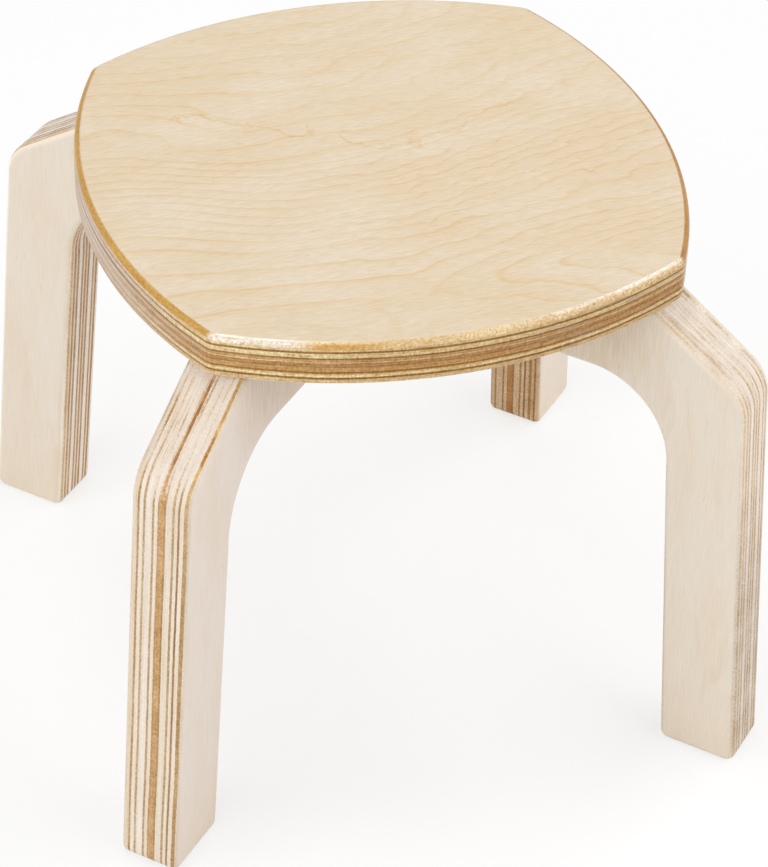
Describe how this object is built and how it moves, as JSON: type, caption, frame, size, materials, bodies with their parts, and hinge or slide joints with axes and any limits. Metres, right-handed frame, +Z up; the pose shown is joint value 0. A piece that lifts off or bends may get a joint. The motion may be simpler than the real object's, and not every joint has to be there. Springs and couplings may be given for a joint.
{
  "type": "stacking stool",
  "caption": "Low child-size plywood stool: arch frames cross at right angles under a square seat with bulged sides, with a leg under each seat corner. Stools stack when turned 45 degrees.",
  "frame": {"origin": "on the floor under the middle of the seat", "axes": "+Z up through the middle of the seat; X along one arch frame and Y along the other, so a leg and a seat corner stand on each of -X, +X, -Y and +Y"},
  "size_m": [0.3524, 0.3524, 0.227],
  "materials": {
    "seat_plywood": "warm birch plywood, satin clear lacquer, rounded and lacquered ply edges",
    "frame_plywood": "pale birch plywood, satin clear lacquer, rounded and lacquered ply edges",
    "zinc_plated_steel": "bright zinc plate",
    "plain_steel": "plain machined steel"
  },
  "bodies": {
    "root": {"seat_panel": "seat_plywood", "frame_left_right": "frame_plywood", "frame_front_back": "frame_plywood", "screw_left": "zinc_plated_steel", "washer_left": "zinc_plated_steel", "insert_left": "plain_steel", "screw_right": "zinc_plated_steel", "washer_right": "zinc_plated_steel", "insert_right": "plain_steel", "screw_front": "zinc_plated_steel", "washer_front": "zinc_plated_steel", "insert_front": "plain_steel", "screw_back": "zinc_plated_steel", "washer_back": "zinc_plated_steel", "insert_back": "plain_steel"}
  },
  "joints": []
}
